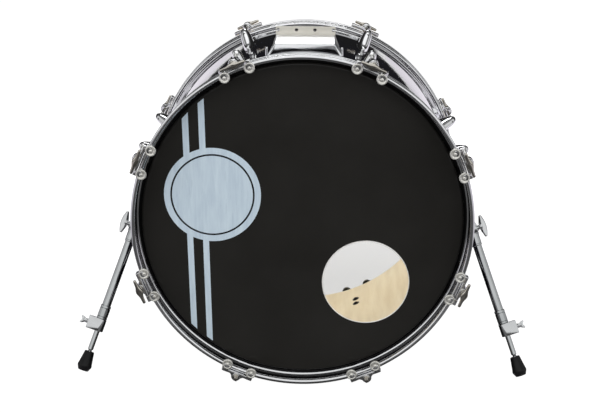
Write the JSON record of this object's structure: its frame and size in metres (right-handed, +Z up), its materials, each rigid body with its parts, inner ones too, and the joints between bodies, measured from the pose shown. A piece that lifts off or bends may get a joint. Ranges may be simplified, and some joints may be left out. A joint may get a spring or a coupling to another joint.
{
  "type": "bass drum",
  "caption": "Bass drum on its side: wrapped shell, ported black front head, clear batter head, chrome hoops, claws, tension rods and lugs, a tom bracket on top and folding spurs.",
  "frame": {"origin": "on the floor, under the middle of the drum in width and in depth", "axes": "+X to the right seen from the resonant head, +Y from the resonant head to the batter head, +Z up"},
  "size_m": [0.8158, 0.4546, 0.6016],
  "materials": {
    "shell_wrap": "gloss black wrap on a bare wood shell",
    "resonant_film": "gloss black film",
    "batter_film": "clear film",
    "hoop_chrome": "polished chrome on steel",
    "bracket_chrome": "polished chrome",
    "claw_chrome": "polished chrome casting",
    "lug_chrome": "polished chrome casting",
    "rod_chrome": "polished chrome",
    "spur_tube_chrome": "polished chrome tube",
    "spur_cast_chrome": "satin chrome casting",
    "rubber": "matt black rubber"
  },
  "bodies": {
    "drum": {"shell": "shell_wrap", "resonant_head": "resonant_film", "batter_head": "batter_film", "resonant_hoop": "hoop_chrome", "batter_hoop": "hoop_chrome", "tom_bracket": "bracket_chrome", "front_claw_1": "claw_chrome", "front_claw_2": "claw_chrome", "front_claw_3": "claw_chrome", "front_claw_4": "claw_chrome", "front_claw_5": "claw_chrome", "front_claw_6": "claw_chrome", "front_claw_7": "claw_chrome", "front_claw_8": "claw_chrome", "front_lug_1": "lug_chrome", "front_lug_2": "lug_chrome", "front_lug_3": "lug_chrome", "front_lug_4": "lug_chrome", "front_lug_5": "lug_chrome", "front_lug_6": "lug_chrome", "front_lug_7": "lug_chrome", "front_lug_8": "lug_chrome", "batter_lug_1": "lug_chrome", "batter_lug_2": "lug_chrome", "batter_lug_3": "lug_chrome", "batter_lug_4": "lug_chrome", "batter_lug_5": "lug_chrome", "batter_lug_6": "lug_chrome", "batter_lug_7": "lug_chrome", "batter_lug_8": "lug_chrome", "right_spur_bracket": "spur_cast_chrome", "left_spur_bracket": "spur_cast_chrome"},
    "front_rod_1": {"front_tension_rod_1": "rod_chrome"},
    "front_rod_2": {"front_tension_rod_2": "rod_chrome"},
    "front_rod_3": {"front_tension_rod_3": "rod_chrome"},
    "front_rod_4": {"front_tension_rod_4": "rod_chrome"},
    "front_rod_5": {"front_tension_rod_5": "rod_chrome"},
    "front_rod_6": {"front_tension_rod_6": "rod_chrome"},
    "front_rod_7": {"front_tension_rod_7": "rod_chrome"},
    "front_rod_8": {"front_tension_rod_8": "rod_chrome"},
    "batter_rod_1": {"batter_tension_rod_1": "rod_chrome"},
    "batter_rod_2": {"batter_tension_rod_2": "rod_chrome"},
    "batter_rod_3": {"batter_tension_rod_3": "rod_chrome"},
    "batter_rod_4": {"batter_tension_rod_4": "rod_chrome"},
    "batter_rod_5": {"batter_tension_rod_5": "rod_chrome"},
    "batter_rod_6": {"batter_tension_rod_6": "rod_chrome"},
    "batter_rod_7": {"batter_tension_rod_7": "rod_chrome"},
    "batter_rod_8": {"batter_tension_rod_8": "rod_chrome"},
    "right_leg": {"right_spur_tube": "spur_tube_chrome", "right_spur_clamp": "spur_cast_chrome"},
    "right_leg_rod": {"right_spur_rod": "spur_tube_chrome"},
    "right_foot": {"right_spur_foot": "rubber"},
    "right_wing_bolt": {"right_spur_wing_bolt": "spur_cast_chrome"},
    "right_clamp_screw": {"right_spur_clamp_screw": "spur_cast_chrome"},
    "left_leg": {"left_spur_tube": "spur_tube_chrome", "left_spur_clamp": "spur_cast_chrome"},
    "left_leg_rod": {"left_spur_rod": "spur_tube_chrome"},
    "left_foot": {"left_spur_foot": "rubber"},
    "left_wing_bolt": {"left_spur_wing_bolt": "spur_cast_chrome"},
    "left_clamp_screw": {"left_spur_clamp_screw": "spur_cast_chrome"}
  },
  "joints": [
    {"name": "front_rod_1_turn", "type": "hinge", "parent": "drum", "child": "front_rod_1", "pos_m": [0.11653, -0.2073, 0.57796], "axis": [0, -1, 0], "continuous": true},
    {"name": "front_rod_2_turn", "type": "hinge", "parent": "drum", "child": "front_rod_2", "pos_m": [0.28132, -0.2073, 0.41317], "axis": [0, -1, 0], "continuous": true},
    {"name": "front_rod_3_turn", "type": "hinge", "parent": "drum", "child": "front_rod_3", "pos_m": [0.28132, -0.2073, 0.18011], "axis": [0, -1, 0], "continuous": true},
    {"name": "front_rod_4_turn", "type": "hinge", "parent": "drum", "child": "front_rod_4", "pos_m": [0.11653, -0.2073, 0.01532], "axis": [0, -1, 0], "continuous": true},
    {"name": "front_rod_5_turn", "type": "hinge", "parent": "drum", "child": "front_rod_5", "pos_m": [-0.11653, -0.2073, 0.01532], "axis": [0, -1, 0], "continuous": true},
    {"name": "front_rod_6_turn", "type": "hinge", "parent": "drum", "child": "front_rod_6", "pos_m": [-0.28132, -0.2073, 0.18011], "axis": [0, -1, 0], "continuous": true},
    {"name": "front_rod_7_turn", "type": "hinge", "parent": "drum", "child": "front_rod_7", "pos_m": [-0.28132, -0.2073, 0.41317], "axis": [0, -1, 0], "continuous": true},
    {"name": "front_rod_8_turn", "type": "hinge", "parent": "drum", "child": "front_rod_8", "pos_m": [-0.11653, -0.2073, 0.57796], "axis": [0, -1, 0], "continuous": true},
    {"name": "batter_rod_1_turn", "type": "hinge", "parent": "drum", "child": "batter_rod_1", "pos_m": [-0.11653, 0.2073, 0.57796], "axis": [0, 1, 0], "continuous": true},
    {"name": "batter_rod_2_turn", "type": "hinge", "parent": "drum", "child": "batter_rod_2", "pos_m": [-0.28132, 0.2073, 0.41317], "axis": [0, 1, 0], "continuous": true},
    {"name": "batter_rod_3_turn", "type": "hinge", "parent": "drum", "child": "batter_rod_3", "pos_m": [-0.28132, 0.2073, 0.18011], "axis": [0, 1, 0], "continuous": true},
    {"name": "batter_rod_4_turn", "type": "hinge", "parent": "drum", "child": "batter_rod_4", "pos_m": [-0.11653, 0.2073, 0.01532], "axis": [0, 1, 0], "continuous": true},
    {"name": "batter_rod_5_turn", "type": "hinge", "parent": "drum", "child": "batter_rod_5", "pos_m": [0.11653, 0.2073, 0.01532], "axis": [0, 1, 0], "continuous": true},
    {"name": "batter_rod_6_turn", "type": "hinge", "parent": "drum", "child": "batter_rod_6", "pos_m": [0.28132, 0.2073, 0.18011], "axis": [0, 1, 0], "continuous": true},
    {"name": "batter_rod_7_turn", "type": "hinge", "parent": "drum", "child": "batter_rod_7", "pos_m": [0.28132, 0.2073, 0.41317], "axis": [0, 1, 0], "continuous": true},
    {"name": "batter_rod_8_turn", "type": "hinge", "parent": "drum", "child": "batter_rod_8", "pos_m": [0.11653, 0.2073, 0.57796], "axis": [0, 1, 0], "continuous": true},
    {"name": "right_spur_fold", "type": "hinge", "parent": "drum", "child": "right_leg", "pos_m": [0.30804, -0.07, 0.2517], "axis": [0.9397, 0, 0.342], "range_deg": [0, 110]},
    {"name": "right_spur_extend", "type": "slide", "parent": "right_leg", "child": "right_leg_rod", "axis": [0.3228, -0.3305, -0.8869], "range_m": [-0.035, 0.06]},
    {"name": "right_wing_bolt_turn", "type": "hinge", "parent": "drum", "child": "right_wing_bolt", "pos_m": [0.30804, -0.07, 0.2517], "axis": [0.9397, 0, 0.342], "continuous": true},
    {"name": "right_clamp_screw_turn", "type": "hinge", "parent": "right_leg", "child": "right_clamp_screw", "pos_m": [0.36995, -0.13339, 0.0816], "axis": [0.9397, 0, 0.342], "continuous": true},
    {"name": "right_foot_turn", "type": "hinge", "parent": "right_leg_rod", "child": "right_foot", "pos_m": [0.38535, -0.14916, 0.0393], "axis": [0.3228, -0.3305, -0.8869], "continuous": true},
    {"name": "left_spur_fold", "type": "hinge", "parent": "drum", "child": "left_leg", "pos_m": [-0.30804, -0.07, 0.2517], "axis": [0.9397, 0, -0.342], "range_deg": [0, 110]},
    {"name": "left_spur_extend", "type": "slide", "parent": "left_leg", "child": "left_leg_rod", "axis": [-0.3228, -0.3305, -0.8869], "range_m": [-0.035, 0.06]},
    {"name": "left_wing_bolt_turn", "type": "hinge", "parent": "drum", "child": "left_wing_bolt", "pos_m": [-0.30804, -0.07, 0.2517], "axis": [-0.9397, 0, 0.342], "continuous": true},
    {"name": "left_clamp_screw_turn", "type": "hinge", "parent": "left_leg", "child": "left_clamp_screw", "pos_m": [-0.36995, -0.13339, 0.0816], "axis": [-0.9397, 0, 0.342], "continuous": true},
    {"name": "left_foot_turn", "type": "hinge", "parent": "left_leg_rod", "child": "left_foot", "pos_m": [-0.38535, -0.14916, 0.0393], "axis": [-0.3228, -0.3305, -0.8869], "continuous": true}
  ]
}
